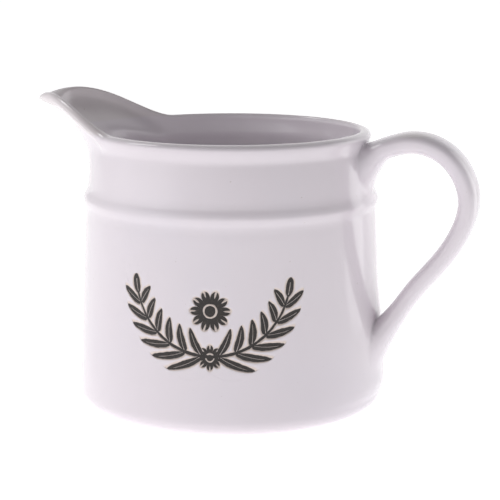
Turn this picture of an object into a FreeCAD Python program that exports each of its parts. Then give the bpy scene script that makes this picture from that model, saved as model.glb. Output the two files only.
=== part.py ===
# Glazed ceramic milk jug: a slightly conical cup with an incised line under its neck,
# a pulled pouring spout, a rolled lip and a strap handle, all fired as one piece.
#
# The origin is at the centre of the foot. +Z is up, the handle points along +X and
# the spout along -X. Sizes are in millimetres, angles in degrees.
import FreeCAD, Part

import math
import os
import re

import Sketcher

Vector = FreeCAD.Vector

DRIVING_SIZES = {
    # cup
    "base_radius": 59.3,
    "shoulder_radius": 55.8,
    "shoulder_height": 85.2,
    "corner_radius": 6.0,
    "wall": 4.5,
    "floor_thickness": 5.5,
    "floor_fillet": 7.0,
    "foot_width": 5.0,
    "foot_recess": 1.4,
    # incised line under the neck
    "line_depth": 0.8,
    "line_width": 8.0,
    "line_drop": 1.0,
    "line_edge": 4.0,
    # neck and rolled lip
    "rim_height": 106.4,
    "neck_radius": 52.3,
    "lip_radius": 53.1,
    "lip_width": 5.2,
    "lip_rise": 3.4,
    # spout
    "spout_reach": 78.5,
    "spout_rise": 12.9,
    "spout_dip": 1.8,
    "spout_half_angle": 42.0,
    "spout_start": 86.0,
    # handle
    "handle_reach": 92.4,
    "handle_crown": 103.4,
    "handle_thickness": 8.0,
    "handle_width": 18.0,
    "handle_low_width": 14.5,
    "upper_root": 93.0,
    "upper_root_height": 19.0,
    "lower_root": 30.5,
    "lower_root_height": 21.5,
    "root_spread": 3.2,
    "root_embed": 3.4,
}

doc = FreeCAD.newDocument("milk_jug")
sheet = doc.addObject("Spreadsheet::Sheet", "Sizes")
for row, (alias, value) in enumerate(DRIVING_SIZES.items(), start=1):
    sheet.set(f"A{row}", alias)
    sheet.set(f"B{row}", str(value))
    sheet.setAlias(f"B{row}", alias)
doc.recompute()


def size(alias):
    """The value of one cell of the sheet."""
    return float(sheet.get(alias))


def formula(text):
    """An expression on cells, such as "base_radius - wall", with the sheet's name put in."""
    return re.sub(r"\b[a-z_]+\b(?!\()", r"Sizes.\g<0>", text)


def amount(text):
    """The value of such an expression."""
    return float(sheet.evalExpression(formula(text)))


# ---------------------------------------------------------------- cup


def origin_plane(body, role):
    """One of a body's own origin planes, found by its role."""
    return next(plane for plane in body.Origin.OriginFeatures if plane.Role == role)


def profile_sketch(body, name, corners, hollow_side=None):
    """A closed half profile in the YZ plane through the given corners.

    Each corner is a pair of expressions. The upright side after corner number hollow_side, if
    there is one, is hollowed by an arc, and every other side is straight.
    """
    sketch = body.newObject("Sketcher::SketchObject", name)
    sketch.AttachmentSupport = (origin_plane(body, "YZ_Plane"), [""])
    sketch.MapMode = "FlatFace"
    points = [Vector(amount(across), amount(up), 0) for across, up in corners]
    sides = len(points)
    for number, start in enumerate(points):
        end = points[(number + 1) % sides]
        if number == hollow_side:
            chord = end.y - start.y
            radius = chord**2 / (8 * size("line_depth")) + size("line_depth") / 2
            half_turn = math.asin(chord / 2 / radius)
            reach = radius * math.cos(half_turn)
            middle = Vector(start.x + reach, (start.y + end.y) / 2, 0)
            circle = Part.Circle(middle, Vector(0, 0, 1), radius)
            arc = Part.ArcOfCircle(circle, math.pi - half_turn, math.pi + half_turn)
            sketch.addGeometry(arc, False)
        else:
            sketch.addGeometry(Part.LineSegment(start, end), False)
    # an arc runs anticlockwise, so this one starts at its upper end
    first = [2 if number == hollow_side else 1 for number in range(sides)]
    for number in range(sides):
        following = (number + 1) % sides
        sketch.addConstraint(
            Sketcher.Constraint("Coincident", number, 3 - first[number], following, first[following])
        )
    for number, (across, up) in enumerate(corners):
        for kind, text in (("DistanceX", across), ("DistanceY", up)):
            made = sketch.addConstraint(
                Sketcher.Constraint(kind, -1, 1, number, first[number], amount(text))
            )
            sketch.setExpression(f"Constraints[{made}]", formula(text))
    if hollow_side is not None:
        made = sketch.addConstraint(
            Sketcher.Constraint("Radius", hollow_side, sketch.Geometry[hollow_side].Radius)
        )
        sketch.setExpression(
            f"Constraints[{made}]",
            formula("line_width ^ 2 / (8 * line_depth) + line_depth / 2"),
        )
    return sketch


def circles_at(shape, radius, height):
    """The names of the edges that run round the axis at one radius and height."""
    found = []
    for number, edge in enumerate(shape.Edges, start=1):
        corner = edge.Vertexes[0].Point
        on_ring = abs(math.hypot(corner.x, corner.y) - radius) < 1e-3
        level = edge.BoundBox.ZLength < 1e-3
        if on_ring and level and abs(corner.z - height) < 1e-3:
            found.append(f"Edge{number}")
    return found


def round_edge(body, name, radius, height, cell):
    """A fillet, as large as one cell says, on the ring edge at that radius and height."""
    base = body.Tip
    fillet = body.newObject("PartDesign::Fillet", name)
    fillet.Base = (base, circles_at(base.Shape, radius, height))
    fillet.setExpression("Radius", f"Sizes.{cell}")
    doc.recompute()
    return fillet


cup = doc.addObject("PartDesign::Body", "cup")
cup.Label = "cup"

foot_edge = "base_radius - corner_radius"
line_top = "shoulder_height - line_drop"
line_bottom = "shoulder_height - line_drop - line_width"
outline = profile_sketch(
    cup,
    "outline",
    [
        ("0", "foot_recess"),
        (foot_edge + " - foot_width - foot_recess", "foot_recess"),
        (foot_edge + " - foot_width", "0"),
        ("base_radius", "0"),
        ("shoulder_radius", line_bottom),
        ("shoulder_radius", line_top),
        ("shoulder_radius", "shoulder_height"),
        ("0", "shoulder_height"),
    ],
    hollow_side=4,
)
turned = cup.newObject("PartDesign::Revolution", "turned_outside")
turned.Profile = outline
turned.ReferenceAxis = (outline, ["V_Axis"])
turned.Angle = 360
doc.recompute()

round_edge(cup, "rounded_corner", size("base_radius"), 0.0, "corner_radius")
round_edge(cup, "line_lower_edge", size("shoulder_radius"), amount(line_bottom), "line_edge")
round_edge(cup, "line_upper_edge", size("shoulder_radius"), amount(line_top), "line_edge")

solid_volume = cup.Shape.Volume
floor_edge = f"base_radius - wall - (base_radius - shoulder_radius) * floor_thickness / ({line_bottom})"
hollow = profile_sketch(
    cup,
    "hollow",
    [
        ("0", "floor_thickness"),
        (floor_edge, "floor_thickness"),
        ("shoulder_radius - wall", line_bottom),
        ("shoulder_radius - wall", "shoulder_height"),
        ("0", "shoulder_height"),
    ],
)
cavity = cup.newObject("PartDesign::Groove", "cavity")
cavity.Profile = hollow
cavity.ReferenceAxis = (hollow, ["V_Axis"])
cavity.Angle = 360
doc.recompute()
if cup.Shape.Volume > 0.6 * solid_volume:
    raise RuntimeError("the cavity did not cut the cup")
round_edge(cup, "floor_corner", amount(floor_edge), size("floor_thickness"), "floor_fillet")


# ---------------------------------------------------------------- neck, lip and spout

SHOULDER = size("shoulder_height")
RIM = size("rim_height")
NECK_TOP = RIM - size("lip_rise")
REACH = size("spout_reach")
HALF_ANGLE = size("spout_half_angle")

TIP_ROUNDING = 3.0
ROOT_ROUNDING = 9.0
KEEL_TOP = RIM + 9.1
KEEL_POWER = 1.8
TIP_DROOP = 0.2
NARROWING = 0.4
SIDE_POWER = 1.5
NECK_LEAN = 0.33
WING_START = HALF_ANGLE + 4.0
WING_TOP = 10.0
DIP_ANGLE = 5.0
TIP_ANGLE = 7.0
TIP_THICKENING = 0.55
STEEPEST = 3.2


def ease(share):
    """A smooth step from 0 to 1."""
    share = min(1.0, max(0.0, share))
    return share * share * (3.0 - 2.0 * share)


def swelling(angle, rounding, half_angle):
    """How far the wall is pulled out at an angle from the spout: 1 on its keel, 0 past its sides."""
    share = (math.hypot(angle, rounding) - rounding) / half_angle
    return max(0.0, 1.0 - share) ** SIDE_POWER


def neck(height):
    """Outer radius of the neck: it leans in a little, then coves in under the lip."""
    share = min(1.0, (height - SHOULDER) / (NECK_TOP - SHOULDER))
    drawn_in = size("shoulder_radius") - size("neck_radius")
    return size("shoulder_radius") - drawn_in * (NECK_LEAN * share + (1.0 - NECK_LEAN) * share**4)


def outside(angle, height):
    """Outer radius of neck and spout below the lip."""
    climb = max(0.0, (height - size("spout_start")) / (KEEL_TOP - size("spout_start")))
    rounding = TIP_ROUNDING + (ROOT_ROUNDING - TIP_ROUNDING) * max(0.0, 1.0 - climb)
    wall_radius = neck(height)
    half_angle = HALF_ANGLE * (1.0 - NARROWING * max(0.0, 1.0 - climb))
    keel = (1.0 - TIP_DROOP) * climb**KEEL_POWER + TIP_DROOP * climb**12
    return wall_radius + (REACH - wall_radius) * keel * swelling(angle, rounding, half_angle)


def slant(angle, height):
    """How much thicker the wall measures along a radius than square through it."""
    step = 0.05
    turn = outside(angle + step, height) - outside(angle - step, height)
    climb = outside(angle, height + step) - outside(angle, height - step)
    across = turn / (2 * math.radians(step)) / outside(angle, height)
    return min(STEEPEST, math.sqrt(1.0 + across**2 + (climb / (2 * step)) ** 2))


def crest(angle):
    """Height of the lip: level round the rim, rising along the spout and dipping at its tip."""
    wing = ease((WING_START - abs(angle)) / (WING_START - WING_TOP))
    dip = math.exp(-((angle / DIP_ANGLE) ** 2))
    return RIM + size("spout_rise") * wing - size("spout_dip") * dip


def lip_edge(angle):
    """Outermost radius of the rolled lip."""
    return size("lip_radius") + (REACH - size("lip_radius")) * swelling(angle, TIP_ROUNDING, HALF_ANGLE)


def lip_half_width(angle):
    """Half the lip's width along a radius, thicker at the tip."""
    step = 0.05
    turn = (lip_edge(angle + step) - lip_edge(angle - step)) / (2 * math.radians(step))
    thicker = 1.0 + TIP_THICKENING * math.exp(-((angle / TIP_ANGLE) ** 2))
    return size("lip_width") / 2 * math.hypot(1.0, turn / lip_edge(angle)) * thicker


def wall_section(angle):
    """Radius and height of the points up the outside, over the lip and down the inside."""
    top = crest(angle)
    outer_rows = 10
    lip_angles = range(-35, 181, 24)
    inner_rows = 9
    points = []
    for row in range(outer_rows):
        height = SHOULDER + (top - size("lip_rise") - SHOULDER) * row / outer_rows
        points.append((outside(angle, height), height))
    half_width = lip_half_width(angle)
    centre = lip_edge(angle) - half_width
    roll_height = size("lip_rise") * 0.55
    roll_centre = top - roll_height
    for turn in lip_angles:
        sideways = half_width * math.cos(math.radians(turn))
        upwards = roll_height * math.sin(math.radians(turn))
        points.append((centre + sideways, roll_centre + upwards))
    for row in range(1, inner_rows + 1):
        share = row / inner_rows
        height = roll_centre + (SHOULDER - roll_centre) * share
        inside = outside(angle, height) - size("wall") * slant(angle, height)
        blend = ease(2.2 * share)
        points.append(((centre - half_width) * (1.0 - blend) + inside * blend, height))
    points[-1] = (size("shoulder_radius") - size("wall"), SHOULDER)
    return points


def neck_and_spout():
    """The solid ring of neck, spout and lip that stands on the shoulder of the cup."""
    columns = []
    count = 96
    crowding = 0.75
    for number in range(count):
        turn = 2 * math.pi * number / count - math.pi
        angle = math.degrees(turn - crowding * math.sin(turn))
        bearing = math.radians(180.0 - angle)
        columns.append(
            [
                Vector(radius * math.cos(bearing), radius * math.sin(bearing), height)
                for radius, height in wall_section(angle)
            ]
        )
    columns.append(columns[0])
    surface = Part.BSplineSurface()
    surface.interpolate(columns)
    skin = surface.toShape()
    rings = []
    for edge in skin.Edges:
        halfway = edge.valueAt(sum(edge.ParameterRange) / 2)
        if abs(halfway.z - SHOULDER) < 1e-3:
            rings.append(edge)
    rings.sort(key=lambda edge: edge.Length, reverse=True)
    seat = Part.Face([Part.Wire([ring]) for ring in rings])
    shell = Part.makeShell([skin, seat])
    shell.sewShape(1e-3)
    return Part.Solid(shell)


spout_ring = doc.addObject("Part::Feature", "neck_and_spout")
spout_ring.Label = "neck_and_spout"
spout_ring.Shape = neck_and_spout()
spout_ring.Placement = FreeCAD.Placement()


# ---------------------------------------------------------------- handle


def wall_radius_at(height):
    """Outer radius of the jug on the handle's side."""
    if height > SHOULDER:
        return neck(height)
    share = height / amount(line_bottom)
    return size("base_radius") + (size("shoulder_radius") - size("base_radius")) * share


def strap_route():
    """The free strap's centre line: out from the neck, over its crown and back down and in."""
    shape = [
        (0.15, 0.970),
        (0.40, 1.0),
        (0.69, 0.967),
        (0.896, 0.872),
        (1.0, 0.716),
        (0.91, 0.537),
        (0.667, 0.356),
        (0.47, 0.240),
        (0.355, 0.160),
    ]
    out = size("handle_reach") - size("shoulder_radius")
    up = size("handle_crown") - size("lower_root")
    line = Part.BSplineCurve()
    line.interpolate(
        [
            Vector(size("shoulder_radius") + out * x, 0, size("lower_root") + up * z)
            for x, z in shape
        ]
    )
    return line


def oval(name, centre, heading, half_width, half_height):
    """One closed oval across the strap, its long axis level and square to the heading."""
    sideways = Vector(0, 1, 0)
    ring = doc.addObject("Part::Ellipse", name)
    ring.setExpression("MajorRadius", formula(half_width))
    ring.setExpression("MinorRadius", formula(f"min({half_width}; {half_height})"))
    turned = FreeCAD.Rotation(sideways, heading.cross(sideways), heading, "ZXY")
    ring.Placement = FreeCAD.Placement(centre, turned)
    return ring


def strap_sections():
    """Ovals from the upper root to the lower one, spread where the strap grows from the wall."""
    line = strap_route()
    first, last = line.FirstParameter, line.LastParameter
    upper_wall, lower_wall = wall_radius_at(size("upper_root")), wall_radius_at(size("lower_root"))
    ovals = [
        oval(
            "upper_root",
            Vector(upper_wall - size("root_embed"), 0, size("upper_root")),
            Vector(1, 0, 0),
            "handle_width / 2 + root_spread",
            "upper_root_height / 2",
        ),
        oval(
            "upper_tail",
            Vector(upper_wall + size("root_embed") * 0.8, 0, size("upper_root") + 0.6),
            Vector(1, 0, 0.12),
            "handle_width / 2 + root_spread / 2",
            "upper_root_height * 0.4",
        ),
    ]
    free_sections = 15
    for number in range(free_sections):
        share = number / (free_sections - 1)
        along = first + (last - first) * share
        low = ease(share)
        ovals.append(
            oval(
                f"strap_{number}",
                line.value(along),
                line.tangent(along)[0],
                f"(handle_width * {1 - low:.4f} + handle_low_width * {low:.4f}) / 2",
                f"handle_thickness * {1 - STRAP_TAPER * low:.4f} / 2",
            )
        )
    ovals += [
        oval(
            "lower_tail",
            Vector(lower_wall + size("root_embed") * 1.6, 0, size("lower_root") + 1.0),
            Vector(-1, 0, -0.3),
            "handle_low_width / 2 + root_spread * 0.7",
            "lower_root_height * 0.37",
        ),
        oval(
            "lower_root",
            Vector(lower_wall - size("root_embed"), 0, size("lower_root")),
            Vector(-1, 0, 0),
            "handle_low_width / 2 + root_spread * 1.4",
            "lower_root_height / 2",
        ),
    ]
    return ovals


STRAP_TAPER = 0.08
strap = doc.addObject("Part::Loft", "handle")
strap.Label = "handle"
sections = strap_sections()
doc.recompute()
strap.Sections = sections
strap.Solid = True
strap.Ruled = False
strap.MaxDegree = 3
doc.recompute()


# ---------------------------------------------------------------- the one fired piece

JOIN_TOLERANCE = 1e-3
jug = doc.addObject("Part::Feature", "jug")
jug.Label = "jug"
jug.Shape = cup.Shape.fuse([spout_ring.Shape, strap.Shape], JOIN_TOLERANCE)
jug.Placement = FreeCAD.Placement()
doc.recompute()

for item in doc.Objects:
    if "Invalid" in item.State or "Error" in item.State:
        raise RuntimeError(f"{item.Label} failed: {item.State}")
for item in (cup, spout_ring, strap, jug):
    if item.Shape.isNull() or not item.Shape.isValid():
        raise RuntimeError(f"{item.Label} has no valid shape")
if len(jug.Shape.Solids) != 1:
    raise RuntimeError(f"the jug came apart into {len(jug.Shape.Solids)} solids")

os.makedirs("parts", exist_ok=True)
jug.Shape.exportStep("parts/jug.step")
box = jug.Shape.BoundBox
print(f"jug: {jug.Shape.Volume / 1000:.1f} cm3,", end=" ")
print(f"{box.XLength:.1f} x {box.YLength:.1f} x {box.ZLength:.1f} mm")
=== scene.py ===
import math

import bmesh
import bpy
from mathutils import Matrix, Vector


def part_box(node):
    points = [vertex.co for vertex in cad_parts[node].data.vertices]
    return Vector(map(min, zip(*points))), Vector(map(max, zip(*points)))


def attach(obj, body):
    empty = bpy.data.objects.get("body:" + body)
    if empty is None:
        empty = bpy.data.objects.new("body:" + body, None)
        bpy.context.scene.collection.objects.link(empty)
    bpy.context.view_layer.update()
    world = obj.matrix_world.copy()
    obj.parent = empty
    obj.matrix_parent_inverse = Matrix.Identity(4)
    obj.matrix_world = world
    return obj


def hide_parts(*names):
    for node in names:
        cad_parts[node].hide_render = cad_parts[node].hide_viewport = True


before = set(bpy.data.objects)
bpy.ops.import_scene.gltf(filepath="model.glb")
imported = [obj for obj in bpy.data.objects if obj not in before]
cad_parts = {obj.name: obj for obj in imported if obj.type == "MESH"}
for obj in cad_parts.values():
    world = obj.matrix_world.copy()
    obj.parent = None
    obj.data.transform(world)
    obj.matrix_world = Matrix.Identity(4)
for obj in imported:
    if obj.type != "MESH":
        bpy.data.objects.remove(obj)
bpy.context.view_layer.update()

# A glazed ceramic milk jug: a slightly conical cup, a pulled spout with a rolled lip, and a
# strap handle, fired as one piece. The room below is in metres, and the jug in millimetres.


# ---------------------------------------------------------------- table and light
# A seamless white paper table in a pale room, with a broad window on the left, a bright far
# wall and a dim ceiling, so the glaze is lightest where it faces down or to either side.

TABLE_SIZE = 14.0
TABLE_BEHIND = 2.0
jug_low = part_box("jug")[0]

bpy.ops.mesh.primitive_plane_add(size=TABLE_SIZE, location=(0.0, TABLE_BEHIND, jug_low.z))
table = bpy.context.object
table.name = "table_top"

paper = bpy.data.materials.new("white_paper")
paper.use_nodes = True
paper_shader = paper.node_tree.nodes["Principled BSDF"]
paper_shader.inputs["Base Color"].default_value = (0.93, 0.93, 0.93, 1.0)
paper_shader.inputs["Roughness"].default_value = 0.9
paper_shader.inputs["Specular IOR Level"].default_value = 0.1
paper_shader.inputs["Emission Color"].default_value = (1.0, 1.0, 1.0, 1.0)
paper_shader.inputs["Emission Strength"].default_value = 0.69
table.data.materials.append(paper)


class Wire:
    """A socket of a node tree. Arithmetic on wires adds Math nodes to the tree."""

    def __init__(self, tree, socket):
        self.tree = tree
        self.socket = socket

    def node(self, kind, settings, inputs, output=0):
        """Adds a node: its settings first, then its sockets. Returns one of its outputs."""
        made = self.tree.nodes.new(kind)
        for name, value in settings.items():
            if name == "stops":
                ramp = made.color_ramp
                ramp.interpolation = "EASE"
                ramp.elements.remove(ramp.elements[1])
                ramp.elements[0].position, ramp.elements[0].color = value[0]
                for place, colour in value[1:]:
                    ramp.elements.new(place).color = colour
            else:
                setattr(made, name, value)
        for name, value in inputs.items():
            if isinstance(value, Wire):
                self.tree.links.new(value.socket, made.inputs[name])
            else:
                made.inputs[name].default_value = value
        return Wire(self.tree, made.outputs[output])

    def maths(self, operation, other=0.0, swapped=False):
        """A Math node on this wire and another wire or number."""
        first, second = (other, self) if swapped else (self, other)
        return self.node("ShaderNodeMath", {"operation": operation}, {0: first, 1: second})

    def __add__(self, other):
        return self.maths("ADD", other)

    def __sub__(self, other):
        return self.maths("SUBTRACT", other)

    def __mul__(self, other):
        return self.maths("MULTIPLY", other)

    def __truediv__(self, other):
        return self.maths("DIVIDE", other)

    def __rsub__(self, other):
        return self.maths("SUBTRACT", other, swapped=True)

    def __abs__(self):
        return self.maths("ABSOLUTE")

    __radd__ = __add__
    __rmul__ = __mul__

    def parts(self):
        """The x, y and z of a vector."""
        split = self.node("ShaderNodeSeparateXYZ", {}, {0: self})
        return [Wire(self.tree, socket) for socket in split.socket.node.outputs]

    def least(self, other):
        return self.maths("MINIMUM", other)

    def most(self, other):
        return self.maths("MAXIMUM", other)

    def rise(self, start, stop):
        """A smooth step from 0 at start to 1 at stop."""
        values = {"Value": self, "From Min": start, "From Max": stop}
        return self.node("ShaderNodeMapRange", {"interpolation_type": "SMOOTHSTEP"}, values)


def blend(factor, first, second):
    """A colour between two, by a factor from 0 to 1."""
    inputs = {0: factor, 6: first, 7: second}
    return factor.node("ShaderNodeMix", {"data_type": "RGBA"}, inputs, 2)


world = bpy.data.worlds.new("pale_room")
world.use_nodes = True
room = world.node_tree.nodes["Background"]
room.inputs["Color"].default_value = (1.0, 0.985, 1.0, 1.0)
bpy.context.scene.world = world

# the room faces the camera, which stands this many degrees round towards the handle
AZIMUTH = 16.5
# degrees from the front of the room, right positive, and the brightness of the wall there
WALLS = [
    (-180, 1.00),
    (-150, 0.72),
    (-120, 0.95),
    (-90, 1.60),
    (-60, 1.76),
    (-30, 0.96),
    (0, 0.66),
    (30, 0.56),
    (90, 0.56),
    (120, 1.25),
    (150, 1.25),
    (180, 1.00),
]
# what the ramp's white stands for, since its stops end at 1
BRIGHTEST = 2
FAR_CEILING = 0.78
# the sine of the climb above the horizon at three levels of the room
WALL_FADES = 0.34
WALL_ENDS = 0.71
OVERHEAD = 0.97

front_x, front_y = math.sin(math.radians(AZIMUTH)), -math.cos(math.radians(AZIMUTH))
heading = Wire(world.node_tree, None).node("ShaderNodeTexCoord", {}, {}, "Generated")
east, north, climb_up = heading.parts()
to_front = east * front_x + north * front_y
to_right = east * -front_y + north * front_x
turned = to_right.maths("ARCTAN2", to_front) / (2 * math.pi) + 0.5
stops = [(turn / 360 + 0.5, (value / BRIGHTEST,) * 3 + (1.0,)) for turn, value in WALLS]
walls = turned.node("ShaderNodeValToRGB", {"stops": stops}, {0: turned}) * BRIGHTEST

# the ceiling is lit over the back of the room only, between the wall and overhead
from_back = (to_front * -1).most(0.0)
level_squared = to_front * to_front + to_right * to_right + 0.0001
ceiling_band = climb_up.rise(WALL_FADES, WALL_ENDS) * climb_up.rise(OVERHEAD, WALL_ENDS)
far_ceiling = from_back * from_back / level_squared * ceiling_band
brightness = walls * climb_up.rise(WALL_ENDS, WALL_FADES) + far_ceiling * FAR_CEILING
world.node_tree.links.new(brightness.socket, room.inputs["Strength"])


def light_panel(name, place, target, width, height, power):
    """A soft rectangular light at a place, facing a target. It doesn't show itself."""
    lamp = bpy.data.lights.new(name, "AREA")
    lamp.shape = "RECTANGLE"
    lamp.size = width
    lamp.size_y = height
    lamp.energy = power
    panel = bpy.data.objects.new(name, lamp)
    panel.location = place
    panel.rotation_euler = (Vector(target) - Vector(place)).to_track_quat("-Z", "Y").to_euler()
    panel.visible_camera = False
    bpy.context.scene.collection.objects.link(panel)


# a tall panel behind the jug on the right, and a lamp that shines over the rim into it
light_panel("right_panel", (0.2827, 0.1705, 0.17), (0.0, 0.0, 0.17), 0.152, 0.34, power=0.14)
light_panel("inside_light", (-0.55, 0.10, 0.75), (0.03, 0.0, 0.09), 0.25, 0.25, power=0.8)

# the camera stands to the handle's side of square-on and looks a little down
DOWNWARD = 10.85
CAMERA_DISTANCE = 0.6817
CAMERA_HEIGHT = 0.1894
camera_data = bpy.data.cameras.new("camera")
camera_data.lens = 128.6
camera_data.sensor_width = 36.0
camera_data.shift_x = 0.0382
camera = bpy.data.objects.new("camera", camera_data)
camera.location = (CAMERA_DISTANCE * front_x, CAMERA_DISTANCE * front_y, CAMERA_HEIGHT)
camera.rotation_euler = (math.radians(90.0 - DOWNWARD), 0.0, math.radians(AZIMUTH))
bpy.context.scene.collection.objects.link(camera)
bpy.context.scene.camera = camera
bpy.context.scene.view_settings.view_transform = "Standard"


# ---------------------------------------------------------------- thrown cup
# The cup is thrown stoneware, a little narrower towards the top, with a rounded bottom
# corner. It stands on a narrow foot ring, and a low bead is raised round it under the neck.

BASE_RADIUS = 59.28
SHOULDER_RADIUS = 55.8
CONE_TOP = 76.2
SHOULDER = 85.2
CORNER = 6.0
WALL = 4.5
FLOOR = 5.5
FLOOR_FILLET = 7.0
FOOT_WIDTH = 5.0
FOOT_RECESS = 1.4
RECESS_FILLET = 1.2
RECESS_INSET = 2.2
RING_ROUNDING = 0.9
WALL_STEPS = 49
BEAD_STEPS = 28
INSIDE_STEPS = 40

# heights and outer radii from the plain wall, over the bead, to the top of the neck
BEAD = [
    (70.0, 56.08),
    (72.6, 55.95),
    (75.2, 55.78),
    (77.2, 55.86),
    (79.0, 56.40),
    (80.3, 56.60),
    (81.7, 56.20),
    (83.4, 55.44),
    (85.4, 54.92),
    (88.0, 54.55),
    (92.0, 53.95),
    (96.0, 53.25),
    (99.3, 52.55),
]


def ease(share):
    """A smooth step from 0 to 1."""
    share = min(1.0, max(0.0, share))
    return share * share * (3.0 - 2.0 * share)


def sweep(start, leaving, end, arriving, share):
    """A cubic curve from start to end, of radii or points, with a slope at each end."""
    square, cube = share**2, share**3
    return (
        start * (2 * cube - 3 * square + 1)
        + leaving * (cube - 2 * square + share)
        + end * (3 * square - 2 * cube)
        + arriving * (cube - square)
    )


def cone(height):
    """Outer radius of the cup below its bead."""
    return BASE_RADIUS + (SHOULDER_RADIUS - BASE_RADIUS) * min(1.0, height / CONE_TOP)


def bead(height):
    """Outer radius over the bead and up the neck: a smooth curve through its points."""
    steps = [(r1 - r0) / (z1 - z0) for (z0, r0), (z1, r1) in zip(BEAD, BEAD[1:])]
    slopes = [steps[0]] + [(a + b) / 2 for a, b in zip(steps, steps[1:])] + [steps[-1]]
    passed = sum(1 for place, _ in BEAD if place <= height)
    k = min(len(BEAD) - 2, max(0, passed - 1))
    (low, start), (high, end) = BEAD[k], BEAD[k + 1]
    width = high - low
    share = min(1.0, (height - low) / width)
    return sweep(start, slopes[k] * width, end, slopes[k + 1] * width, share)


def between(first, last, count):
    """Evenly spaced values after the first one, up to and with the last."""
    return [first + (last - first) * (step + 1) / count for step in range(count)]


def arc(centre_radius, centre_height, radius, first, last, count):
    """Points round a corner of a profile, after the first one."""
    return [
        (
            centre_radius + radius * math.cos(math.radians(turn)),
            centre_height + radius * math.sin(math.radians(turn)),
        )
        for turn in between(first, last, count)
    ]


def underside_rows():
    """Profile from the middle of the foot out to the top of the bottom corner."""
    ring_outside = BASE_RADIUS - CORNER
    ring_inside = ring_outside - FOOT_WIDTH
    rows = [(radius, FOOT_RECESS) for radius in (0.0, 8.0, 16.0, 24.0, 32.0, 40.0)]
    fillet_centre = (ring_inside - RECESS_INSET, FOOT_RECESS - RECESS_FILLET)
    rows += arc(*fillet_centre, RECESS_FILLET, 90.0, 25.0, 4)
    ring_start = ring_inside + RING_ROUNDING
    rows += arc(ring_start, RING_ROUNDING, RING_ROUNDING, 205.0, 270.0, 4)
    rows += [(radius, 0.0) for radius in between(ring_start, ring_outside, 4)]
    lean = math.degrees(math.atan((BASE_RADIUS - SHOULDER_RADIUS) / CONE_TOP))
    middle = cone(CORNER) - CORNER / math.cos(math.radians(lean))
    rows.append((middle, 0.0))
    rows += arc(middle, CORNER, CORNER, -90.0, lean, 12)
    return rows


def wall_rows():
    """Profile from the bottom corner up the cup, over the bead, to the shoulder."""
    wall_top = BEAD[0][0]
    heights = between(CORNER + 0.3, wall_top, WALL_STEPS)
    rows = [(cone(height), height) for height in heights]
    return rows + [(bead(height), height) for height in between(wall_top, SHOULDER, BEAD_STEPS)]


def inside_rows():
    """Profile from the shoulder down the inside of the cup to the middle of its floor."""
    corner_height = FLOOR + FLOOR_FILLET
    heights = between(SHOULDER, corner_height, INSIDE_STEPS)
    rows = [(cone(height) - WALL, height) for height in heights]
    middle = cone(corner_height) - WALL - FLOOR_FILLET
    rows += arc(middle, corner_height, FLOOR_FILLET, 0.0, -90.0, 10)
    rows += [(radius, FLOOR) for radius in between(middle, 0.0, 12)]
    return rows


# ---------------------------------------------------------------- neck, lip and spout
# Above the shoulder the wet wall is drawn in to a neck, its edge is rolled over outward
# as a lip, and one side is pulled out and up between two fingers into the spout.

MM = 0.001

# the lip: its height, its outermost radius, how far it rolls out and in, and its roundness
RIM = 106.38
LIP_RADIUS = 53.6
LIP_OUT = 3.1
LIP_IN = 1.4
LIP_ROLL = 2.1
FLARE = 5.0
THROAT_CURVE = 2.2

# the spout: its reach and rise, half its width in degrees, and the roundness of its keel
SPOUT_REACH = -jug_low.x / MM
SPOUT_RISE = 12.87
SPOUT_DIP = 1.8
HALF_ANGLE = 42.0
ROOT_SHARE = 0.6
SPOUT_START = 86.0
TIP_ROUNDING = 3.0
ROOT_ROUNDING = 9.0
KEEL_TOP = RIM + 9.1
KEEL_CURVE = 1.8
TIP_DROOP = 0.2
DROOP_CURVE = 12
SIDE_CURVE = 1.5
MOST_SLANT = 3.2

# how the lip changes on the spout: finer on the two wings, fuller on the tip
WING_FINER_OUT = 0.38
WING_FINER_IN = 0.3
TIP_FULLER_OUT = 1.0
TIP_FULLER_IN = 3.6

# turns in degrees: how far outside the spout's sides the lip starts to rise and to thin,
# where it has its full height, and how wide the dip and the fuller tip spread
RISE_OUTSIDE = 4.0
THIN_OUTSIDE = 8.0
THIN_RUN = 24.0
FULL_HEIGHT = 10.0
DIP_SPREAD = 5.0
TIP_SPREAD = 5.5


def swelling(angle, rounding, half_angle):
    """How far the wall is pulled out at an angle from the spout: 1 on its keel."""
    share = (math.hypot(angle, rounding) - rounding) / half_angle
    return max(0.0, 1.0 - share) ** SIDE_CURVE


def outside(angle, height):
    """Outer radius of neck and spout below the lip."""
    climb = min(1.0, max(0.0, (height - SPOUT_START) / (KEEL_TOP - SPOUT_START)))
    rounding = TIP_ROUNDING + (ROOT_ROUNDING - TIP_ROUNDING) * (1.0 - climb)
    half_angle = HALF_ANGLE * (ROOT_SHARE + (1.0 - ROOT_SHARE) * climb)
    keel = (1.0 - TIP_DROOP) * climb**KEEL_CURVE + TIP_DROOP * climb**DROOP_CURVE
    radius = bead(height)
    return radius + (SPOUT_REACH - radius) * keel * swelling(angle, rounding, half_angle)


def slant(angle, height):
    """How much thicker the wall measures along a radius than square through it."""
    step = 0.05
    sideways = outside(angle + step, height) - outside(angle - step, height)
    upwards = outside(angle, height + step) - outside(angle, height - step)
    across = sideways / (2 * math.radians(step)) / outside(angle, height)
    return min(MOST_SLANT, math.sqrt(1.0 + across**2 + (upwards / (2 * step)) ** 2))


def crest(angle):
    """Height of the lip: level round the rim, rising along the spout, dipping at its tip."""
    start = HALF_ANGLE + RISE_OUTSIDE
    wing = ease((start - abs(angle)) / (start - FULL_HEIGHT))
    return RIM + SPOUT_RISE * wing - SPOUT_DIP * math.exp(-((angle / DIP_SPREAD) ** 2))


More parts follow.
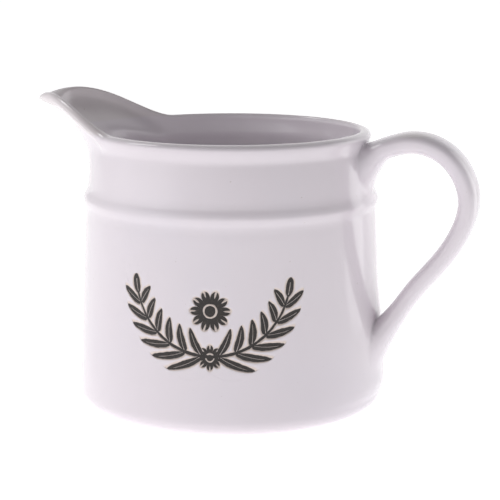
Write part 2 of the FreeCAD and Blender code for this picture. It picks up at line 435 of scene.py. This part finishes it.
def lip_edge(angle):
    """Outermost radius of the rolled lip."""
    return LIP_RADIUS + (SPOUT_REACH - LIP_RADIUS) * swelling(angle, TIP_ROUNDING, HALF_ANGLE)


def lip_widths(angle):
    """The lip's width along a radius, out from its crest and in."""
    step = 0.05
    sideways = (lip_edge(angle + step) - lip_edge(angle - step)) / (2 * math.radians(step))
    spread = math.hypot(1.0, sideways / lip_edge(angle))
    wing = ease((HALF_ANGLE + THIN_OUTSIDE - abs(angle)) / THIN_RUN)
    tip = math.exp(-((angle / TIP_SPREAD) ** 2))
    out = LIP_OUT * (1.0 - WING_FINER_OUT * wing) + TIP_FULLER_OUT * tip
    inward = LIP_IN * (1.0 - WING_FINER_IN * wing) + TIP_FULLER_IN * tip
    return out * spread, inward * spread


NECK_ROWS = 22
LIP_ROWS = 18
THROAT_ROWS = 24


def neck_rows(angle):
    """Profile up the outside above the shoulder, over the lip and down to the shoulder."""
    top = crest(angle)
    middle = top - LIP_ROLL
    edge = lip_edge(angle)
    out, inward = lip_widths(angle)
    flare = edge - outside(angle, middle)
    rows = []
    for height in between(SHOULDER, middle, NECK_ROWS):
        under_lip = ease((height - top + LIP_ROLL + FLARE) / FLARE)
        rows.append((outside(angle, height) + flare * under_lip, height))
    centre = edge - out
    for turn in between(0.0, 180.0, LIP_ROWS):
        half_width = out if turn < 90.0 else inward
        radius = centre + half_width * math.cos(math.radians(turn))
        rows.append((radius, middle + LIP_ROLL * math.sin(math.radians(turn))))
    for share in between(0.0, 1.0, THROAT_ROWS):
        height = middle + (SHOULDER - top + LIP_ROLL) * share
        inside = outside(angle, height) - WALL * slant(angle, height)
        settled = ease(THROAT_CURVE * share)
        rows.append(((centre - inward) * (1.0 - settled) + inside * settled, height))
    return rows


# the whole skin is one grid: columns round the jug, crowded at the spout, by rows
COLUMNS = 300
CROWDING = 0.6


def column_angle(number):
    """Angle of a column from the spout; column 0 runs up behind the handle."""
    around = 2 * math.pi * number / COLUMNS - math.pi
    return math.degrees(around - CROWDING * math.sin(around))


underside = underside_rows()
cup_wall = wall_rows()
cup_inside = inside_rows()
WALL_START = len(underside)
NECK_START = WALL_START + len(cup_wall)


def on_jug(angle, radius, height):
    """A point of the jug, from its angle round from the spout, radius and height."""
    bearing = math.radians(180.0 - angle)
    return Vector((radius * math.cos(bearing), radius * math.sin(bearing), height))


ROOT_SWELL = 1.5
SWELL_SPREAD = 30.0


def swell(angle, height):
    """How far the lower wall stands out round the handle's root, up to 52 mm high."""
    aside = (180.0 - abs(angle)) / SWELL_SPREAD
    share_up = ease((height - 3.0) / 9.0) * ease((52.0 - height) / 26.0)
    return ROOT_SWELL * math.exp(-(aside**2)) * share_up


def skin_column(angle):
    """All rows of one column of the skin."""
    swollen = [(radius + swell(angle, height), height) for radius, height in cup_wall]
    return underside + swollen + neck_rows(angle) + cup_inside


columns = [skin_column(column_angle(number)) for number in range(COLUMNS)]
ROWS = len(columns[0])


# ---------------------------------------------------------------- strap handle
# The handle is a flattened strap of clay pulled by hand, pressed on under the lip and
# on the lower wall, where its ends are smeared out so they run into the jug.

HANDLE_REACH = 92.36
HANDLE_CROWN = 103.4
HANDLE_FOOT = 30.5
THICKNESS = 8.0
THINNING = 0.08
WIDTH = 18.0
LOW_WIDTH = 14.5
SQUARENESS = 2.6
# each root's height, half its height and half its width on the wall
UPPER_ROOT = (92.5, 10.3, 12.8)
LOWER_ROOT = (25.7, 10.4, 14.0)
# the patches of the skin's grid that the roots take the place of
PATCH_COLUMNS = 20
PATCH_ROWS = 28
UPPER_PATCH = NECK_START - 7
LOWER_PATCH = WALL_START + 5
ROUND = 2 * (PATCH_COLUMNS + PATCH_ROWS)


def smooth_line(points, count):
    """Points of a natural cubic curve through the given ones."""
    knots = [0.0]
    for here, there in zip(points, points[1:]):
        knots.append(knots[-1] + (there - here).length)
    last = len(points) - 1
    middle, bends = [math.inf], [Vector((0, 0, 0))]
    for k in range(1, last):
        before, after = knots[k] - knots[k - 1], knots[k + 1] - knots[k]
        slope = (points[k + 1] - points[k]) / after - (points[k] - points[k - 1]) / before
        share = before / middle[-1]
        middle.append(2 * (before + after) - share * before)
        bends.append(6 * slope - share * bends[-1])
    curve = [Vector((0, 0, 0))] * (last + 1)
    for k in range(last - 1, 0, -1):
        after = knots[k + 1] - knots[k]
        curve[k] = (bends[k] - after * curve[k + 1]) / middle[k]
    line = []
    for step in range(count):
        along = knots[-1] * step / (count - 1)
        k = min(last - 1, max(i for i, knot in enumerate(knots) if knot <= along + 1e-9))
        span = knots[k + 1] - knots[k]
        a, b = (knots[k + 1] - along) / span, (along - knots[k]) / span
        line.append(
            a * points[k]
            + b * points[k + 1]
            + ((a**3 - a) * curve[k] + (b**3 - b) * curve[k + 1]) * span**2 / 6
        )
    return line


def strap_points():
    """The free strap's centre line, from under the lip, over its crown, to the lower wall."""
    shape = [
        (0.15, 0.970),
        (0.40, 1.0),
        (0.69, 0.967),
        (0.896, 0.872),
        (1.0, 0.716),
        (0.91, 0.537),
        (0.667, 0.356),
        (0.47, 0.240),
        (0.355, 0.160),
    ]
    out = HANDLE_REACH - SHOULDER_RADIUS
    up = HANDLE_CROWN - HANDLE_FOOT
    return [Vector((SHOULDER_RADIUS + out * x, 0.0, HANDLE_FOOT + up * z)) for x, z in shape]


def patch_border(first_row):
    """Column offset and row of each point round a patch, from its middle right, anticlockwise."""
    half, low, high = PATCH_COLUMNS // 2, first_row, first_row + PATCH_ROWS
    middle = (low + high) // 2
    border = [(half, row) for row in range(middle, high)]
    border += [(column, high) for column in range(half, -half, -1)]
    border += [(-half, row) for row in range(high, low, -1)]
    border += [(column, low) for column in range(-half, half)]
    border += [(half, row) for row in range(low, middle)]
    return border


def ring_turns():
    """The turn round the strap of each of its lengthways lines."""
    half_columns, half_rows = PATCH_COLUMNS / 2, PATCH_ROWS / 2
    return [
        math.atan2((row - half_rows) / half_rows, column / half_columns)
        for column, row in patch_border(0)
    ]


TURNS = ring_turns()


def back_profile(row):
    """Radius and height of the skin behind the handle at a fractional row."""
    low = min(ROWS - 2, int(row))
    share = row - low
    (r0, z0), (r1, z1) = columns[0][low], columns[0][low + 1]
    return r0 + (r1 - r0) * share, z0 + (z1 - z0) * share


def row_at(height, first_row):
    """The fractional row where the skin behind the handle has a height."""
    last_row = first_row + PATCH_ROWS
    heights = [point[1] for point in columns[0]]
    for row in range(first_row, last_row):
        low, high = heights[row], heights[row + 1]
        if low <= height <= high:
            return row + (height - low) / (high - low)
    return float(last_row if height > heights[first_row] else first_row)


def footprint(middle, half_height, half_width, first_row, upright):
    """Angle and row where each lengthways line of the strap meets the wall. Upright is 1,
    or -1 at the lower root, where the strap arrives upside down."""
    prints = []
    for turn in TURNS:
        height = middle + upright * half_height * math.sin(turn)
        row = row_at(height, first_row)
        radius = back_profile(row)[0]
        prints.append((half_width * math.cos(turn) / radius, row))
    return prints


def wall_point(bearing, row):
    """A point on the skin behind the handle."""
    radius, height = back_profile(row)
    if row < NECK_START:
        radius += swell(180.0 - math.degrees(abs(bearing)), height) - swell(180.0, height)
    return Vector((radius * math.cos(bearing), radius * math.sin(bearing), height))


FREE_RINGS = 90
ROOT_RINGS = 14
INWARD = 0.97
SHARPEST = 0.85


def squared_oval(turn):
    """Cosine and sine of a turn round the strap's slightly squared oval."""
    x, y = math.cos(turn), math.sin(turn)
    power = 2 / SQUARENESS
    return math.copysign(abs(x) ** power, x), math.copysign(abs(y) ** power, y)


def strap_rings():
    """The free strap's rings, and its heading at each end."""
    line = smooth_line(strap_points(), FREE_RINGS)
    rings = []
    headings = []
    for number, centre in enumerate(line):
        before, after = line[max(0, number - 1)], line[min(FREE_RINGS - 1, number + 1)]
        heading = (after - before).normalized()
        headings.append(heading)
        outward = Vector((-heading.z, 0.0, heading.x))
        low = ease(number / (FREE_RINGS - 1))
        half_width = (WIDTH * (1 - low) + LOW_WIDTH * low) / 2
        half_thickness = THICKNESS * (1 - THINNING * low) / 2
        ring = []
        for turn in TURNS:
            x, y = squared_oval(turn)
            ring.append(centre + Vector((0, half_width * x, 0)) + outward * half_thickness * y)
        rings.append(ring)
    return rings, headings[0], headings[-1]


def root_rings(end_ring, heading, prints, middle_row, pull, smear, upright):
    """Rings from the wall out to the free strap. Each line leaves along the wall, so the
    clay looks smeared on, except at the root's upper side, where it meets it sharply.
    Smear and pull are how strongly a line keeps its heading at the wall and at the strap."""
    rings = []
    for step in range(ROOT_RINGS):
        ring = []
        for number, (bearing, row) in enumerate(prints):
            start = wall_point(bearing, row)
            inner = wall_point(bearing * INWARD, middle_row + (row - middle_row) * INWARD)
            sharp = max(0.0, upright * math.sin(TURNS[number])) ** 1.5
            away = (inner - start).normalized() * smear * (1.0 - SHARPEST * sharp)
            ring.append(sweep(start, away, end_ring[number], heading * pull, step / ROOT_RINGS))
        rings.append(ring)
    return rings


# ---------------------------------------------------------------- one fired piece
# Cup, neck, lip, spout and handle are stitched into one closed skin, as the glaze
# covers them. Round each end of the handle the grid opens and meets the strap's rings.

mesh_points = []
mesh_faces = []
grid = [[None] * COLUMNS for _ in range(ROWS)]


def in_patch(column, row):
    """True inside either opened patch, borders left out. Column 0 is behind the handle."""
    columns_off = min(column, COLUMNS - column)
    if columns_off >= PATCH_COLUMNS // 2:
        return False
    return any(first < row < first + PATCH_ROWS for first in (UPPER_PATCH, LOWER_PATCH))


def add_point(point):
    """Adds a point in millimetres and returns its number."""
    mesh_points.append(point * MM)
    return len(mesh_points) - 1


foot_middle = add_point(Vector((0, 0, FOOT_RECESS)))
floor_middle = add_point(Vector((0, 0, FLOOR)))
for row in range(1, ROWS - 1):
    for column in range(COLUMNS):
        if not in_patch(column, row):
            radius, height = columns[column][row]
            grid[row][column] = add_point(on_jug(column_angle(column), radius, height))

for column in range(COLUMNS):
    after = (column + 1) % COLUMNS
    mesh_faces.append((foot_middle, grid[1][column], grid[1][after]))
    mesh_faces.append((floor_middle, grid[ROWS - 2][after], grid[ROWS - 2][column]))
for row in range(1, ROWS - 2):
    for column in range(COLUMNS):
        after = (column + 1) % COLUMNS
        lower, upper = grid[row], grid[row + 1]
        corners = (lower[column], upper[column], upper[after], lower[after])
        if None not in corners:
            mesh_faces.append(corners)


PATCH_RINGS = 6


def bearing_of(column):
    """Bearing from the handle's plane of a grid column near the handle."""
    bearing = math.radians(180.0 - column_angle(column % COLUMNS))
    return bearing if bearing < math.pi else bearing - 2 * math.pi


def stitch(first, second):
    """Quads between two rings of the same count."""
    for number in range(ROUND):
        after = (number + 1) % ROUND
        mesh_faces.append((first[number], second[number], second[after], first[after]))


def open_patch(first_row, prints, upright):
    """The rings of grid points round a root, from the patch's border in to the footprint."""
    border = patch_border(first_row)
    if upright < 0:
        middle = first_row + PATCH_ROWS // 2
        border = [(column, 2 * middle - row) for column, row in border]
    rings = [[grid[row][-column % COLUMNS] for column, row in border]]
    for step in range(1, PATCH_RINGS):
        share = step / PATCH_RINGS
        ring = []
        for (column, row), (bearing, print_row) in zip(border, prints):
            part_bearing = bearing_of(-column) * (1 - share) + bearing * share
            part_row = row * (1 - share) + print_row * share
            ring.append(add_point(wall_point(part_bearing, part_row)))
        rings.append(ring)
    return rings


free_rings, first_heading, last_heading = strap_rings()
upper_prints = footprint(*UPPER_ROOT, UPPER_PATCH, 1)
lower_prints = footprint(*LOWER_ROOT, LOWER_PATCH, -1)
upper_middle = row_at(UPPER_ROOT[0], UPPER_PATCH)
lower_middle = row_at(LOWER_ROOT[0], LOWER_PATCH)
upper_root = root_rings(
    free_rings[0], first_heading, upper_prints, upper_middle, pull=7.0, smear=13.0, upright=1
)
lower_root = root_rings(
    free_rings[-1], -last_heading, lower_prints, lower_middle, pull=9.0, smear=15.0, upright=-1
)
chain = open_patch(UPPER_PATCH, upper_prints, 1)
for ring in upper_root + free_rings + lower_root[::-1]:
    chain.append([add_point(point) for point in ring])
chain += reversed(open_patch(LOWER_PATCH, lower_prints, -1))
for first, second in zip(chain, chain[1:]):
    stitch(first, second)

jug_mesh = bpy.data.meshes.new("jug_skin")
jug_mesh.from_pydata(mesh_points, [], mesh_faces)
jug_mesh.validate()
skin = bmesh.new()
skin.from_mesh(jug_mesh)
bmesh.ops.recalc_face_normals(skin, faces=skin.faces)
skin.to_mesh(jug_mesh)
skin.free()
jug_mesh.shade_smooth()
jug = bpy.data.objects.new("glazed_jug", jug_mesh)
bpy.context.scene.collection.objects.link(jug)
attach(jug, "root")
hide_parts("jug")


# ---------------------------------------------------------------- glaze and clay
# A glossy off-white glaze lies over pale stoneware, a little uneven from dipping and
# thinner over the lip. The foot ring was wiped clean before firing and stays bare.

GLAZE = (0.832, 0.775, 0.824, 1.0)
THIN_GLAZE = (0.80, 0.745, 0.755, 1.0)
POOLED_GLAZE = (0.815, 0.768, 0.826, 1.0)
BARE_CLAY = (0.62, 0.53, 0.43, 1.0)
IRON_SPECK = (0.42, 0.34, 0.27, 1.0)
PER_METRE = 1000
LIP_EDGE = 106.0
WIPED_BELOW = 0.25
GLAZED_ABOVE = 0.75

glaze = bpy.data.materials.new("off_white_glaze")
glaze.use_nodes = True
glaze_shader = glaze.node_tree.nodes["Principled BSDF"]
glaze_shader.inputs["IOR"].default_value = 1.5
glaze_shader.inputs["Coat Roughness"].default_value = 0.04
jug_mesh.materials.append(glaze)

# the place on the jug, in millimetres
place = Wire(glaze.node_tree, None).node("ShaderNodeTexCoord", {}, {}, "Object")
across_x, across_y, upright = [part * PER_METRE for part in place.parts()]


def cloud(scale, detail):
    """Soft three-dimensional noise over the jug, from 0 to 1. Its scale is per metre."""
    inputs = {"Vector": place, "Scale": scale, "Detail": detail}
    return place.node("ShaderNodeTexNoise", {}, inputs, 0)


pooled = cloud(26.0, 2.0).rise(0.45, 0.75)
at_lip = (upright - LIP_EDGE).rise(-0.6, 0.9)
specks = cloud(900.0, 1.0).rise(0.76, 0.80) * cloud(60.0, 1.0).rise(0.5, 0.62)
glaze_colour = blend(pooled * 0.7, GLAZE, POOLED_GLAZE)
glaze_colour = blend(at_lip * 0.8, glaze_colour, THIN_GLAZE)
glaze_colour = blend(specks * 0.35, glaze_colour, IRON_SPECK)

# the foot ring's bare clay keeps thin traces of glaze
bare = (upright * -1).rise(-GLAZED_ABOVE, -WIPED_BELOW) * (cloud(700.0, 3.0) * 0.3 + 0.7)
clay_grain = cloud(1400.0, 4.0)
surface_colour = blend(bare, glaze_colour, BARE_CLAY)


# ---------------------------------------------------------------- stamped sprig
# A leafy sprig with two daisies is stamped into the soft wall and stained black-brown under
# the glaze, which breaks cream round the edges of the stamp.

SPRIG_TURN = math.radians(-81.0)
SPRIG_RADIUS = 57.4
SPRIG_MIDDLE = 43.6
STEM_RADIUS = 30.0
STEM_CENTRE = 17.0
STEM_START = -90.0
STEM_END = -16.0
STEM_LENGTH = math.radians(STEM_END - STEM_START) * STEM_RADIUS
STEM_HALF_WIDTH = 0.62
LEAF_PITCH = 6.3
LEAF_PAIRS = 6
LEAF_LENGTH = 8.6
LEAF_SHORTENS = 0.62
LEAF_BREADTH = 3.0
LEAF_GAP = 0.35
LEAF_FORWARD = 0.95
LEAF_NARROWING = 0.74
VEIN_HALF_WIDTH = 0.17
LAST_LEAF_LENGTH = 7.2
LAST_LEAF_BREADTH = 3.1
LEAF_CUT_OFF = 40
STEM_CUT_OFF = 60
# the height of each daisy's middle over the sprig's, its size and its petals
DAISIES = [(3.6, 7.4, 10), (-13.4, 4.6, 8)]
STAIN = (0.020, 0.0155, 0.0140, 1.0)
WORN_STAIN = (0.085, 0.066, 0.056, 1.0)
BREAKING_GLAZE = (0.78, 0.62, 0.47, 1.0)

# the place on the front of the jug, unrolled. Each field below is above 0 where the clay
# is stained, and its value is close to the distance in from the edge
facing = across_x * math.cos(SPRIG_TURN) + across_y * math.sin(SPRIG_TURN)
beside = across_y * math.cos(SPRIG_TURN) - across_x * math.sin(SPRIG_TURN)
sideways = abs(beside.maths("ARCTAN2", facing)) * SPRIG_RADIUS
upwards = upright - SPRIG_MIDDLE

# along and off the curved stem, one arc each side of the middle
from_centre = upwards - STEM_CENTRE
off_stem = (sideways * sideways + from_centre * from_centre).maths("SQRT") - STEM_RADIUS
along = (from_centre.maths("ARCTAN2", sideways) - math.radians(STEM_START)) * STEM_RADIUS
stem_share = along / STEM_LENGTH
reach = abs(off_stem)


def past_ends(share):
    """How far a share along something lies outside 0 to 1."""
    return (share - 1.0).most(share * -1).most(0.0)


def leaf_bow(share):
    """A leaf's half width, from 0 at its foot and at its tip to a half in the middle."""
    return (share * (1.0 - share)).most(0.0).maths("SQRT")


# pairs of leaves slanting forward off the stem, shorter towards its tip
slanted = along - reach * LEAF_FORWARD - off_stem * 0.12
off_vein = abs((slanted / LEAF_PITCH).maths("FRACT") - 0.5) * (LEAF_PITCH * LEAF_NARROWING)
leaf_number = (slanted / LEAF_PITCH).maths("FLOOR")
leaf_share = (reach - LEAF_GAP) / (LEAF_LENGTH - leaf_number * LEAF_SHORTENS)
leaf = leaf_bow(leaf_share) * (1.25 - leaf_share * 0.55) * LEAF_BREADTH - off_vein
leaf = leaf - past_ends(leaf_share) * LEAF_CUT_OFF
vein = (VEIN_HALF_WIDTH - off_vein) * leaf_share.rise(0.92, 0.7)
leaf = leaf.least(0.4 - vein * 6.0)
leaf = leaf.least(leaf_number * 2 + 1.0).least((LEAF_PAIRS - leaf_number) * 2 - 1.0)

# one leaf more goes on from the end of the stem, which thins towards it
last_share = (along - STEM_LENGTH + 0.6) / LAST_LEAF_LENGTH
last_leaf = leaf_bow(last_share) * LAST_LEAF_BREADTH - reach
last_leaf = last_leaf - past_ends(last_share) * LEAF_CUT_OFF
last_leaf = last_leaf.least(reach - 0.1 + last_share.rise(0.72, 0.9) * 4.0)
stem = (STEM_HALF_WIDTH - stem_share * 0.2) - reach - past_ends(stem_share) * STEM_CUT_OFF


def daisy(middle, size, petals):
    """Field of a small daisy: petals round a seeded middle, parted by a light ring."""
    height = upwards - middle
    distance = (sideways * sideways + height * height).maths("SQRT")
    turned = height.maths("ARCTAN2", sideways) * (petals / 2)
    petal = abs(turned.maths("COSINE")).maths("POWER", 0.55) * (size * 0.42) + size * 0.58
    rays = (petal - distance).least(distance - size * 0.36)
    crease = abs(turned.maths("SINE")).maths("POWER", 0.8) * 1.1 - 0.35
    rays = rays.least(crease + distance.rise(size * 0.8, size * 0.45) * 0.9)
    return rays.most(size * 0.27 - distance)


sprig = leaf.most(last_leaf).most(stem)
for flower in DAISIES:
    sprig = sprig.most(daisy(*flower))
in_front = facing.rise(0.0, 10.0)
ragged = (cloud(520.0, 3.0) - 0.5) * 0.5
inked = (sprig + ragged).rise(-0.12, 0.12) * in_front
broken = (sprig + ragged * 1.5).rise(-0.95, -0.1) * in_front * (1.0 - inked)
grain = cloud(1500.0, 2.0).rise(0.52, 0.74)
stain_colour = blend(grain * 0.5, STAIN, WORN_STAIN)
surface_colour = blend(broken * 0.62, surface_colour, BREAKING_GLAZE)
surface_colour = blend(inked, surface_colour, stain_colour)

# the stamp's dent, the clay that sank with it, the faint waviness of the glaze and the
# grain of the bare clay shape the highlights. The relief is in millimetres
dent = sprig.rise(-0.5, 0.2) * in_front
sunk = sprig.rise(-1.5, 0.2) * in_front
wavy = cloud(34.0, 1.0) * 0.5 + cloud(110.0, 1.0) * 0.12
dimples = bare * clay_grain * 0.3
relief = wavy * 0.22 - dent * 0.34 - sunk * 0.16 + dimples
bumped = relief.node("ShaderNodeBump", {}, {"Height": relief, "Distance": MM, "Strength": 1.0})

roughness = 0.15 + pooled * 0.03 + inked * (0.16 + grain * 0.2) + bare * 0.6
coat_weight = 0.32 * (1.0 - bare) * (1.0 - inked)
links = glaze.node_tree.links
links.new(surface_colour.socket, glaze_shader.inputs["Base Color"])
links.new(roughness.socket, glaze_shader.inputs["Roughness"])
links.new(coat_weight.socket, glaze_shader.inputs["Coat Weight"])
links.new(bumped.socket, glaze_shader.inputs["Normal"])
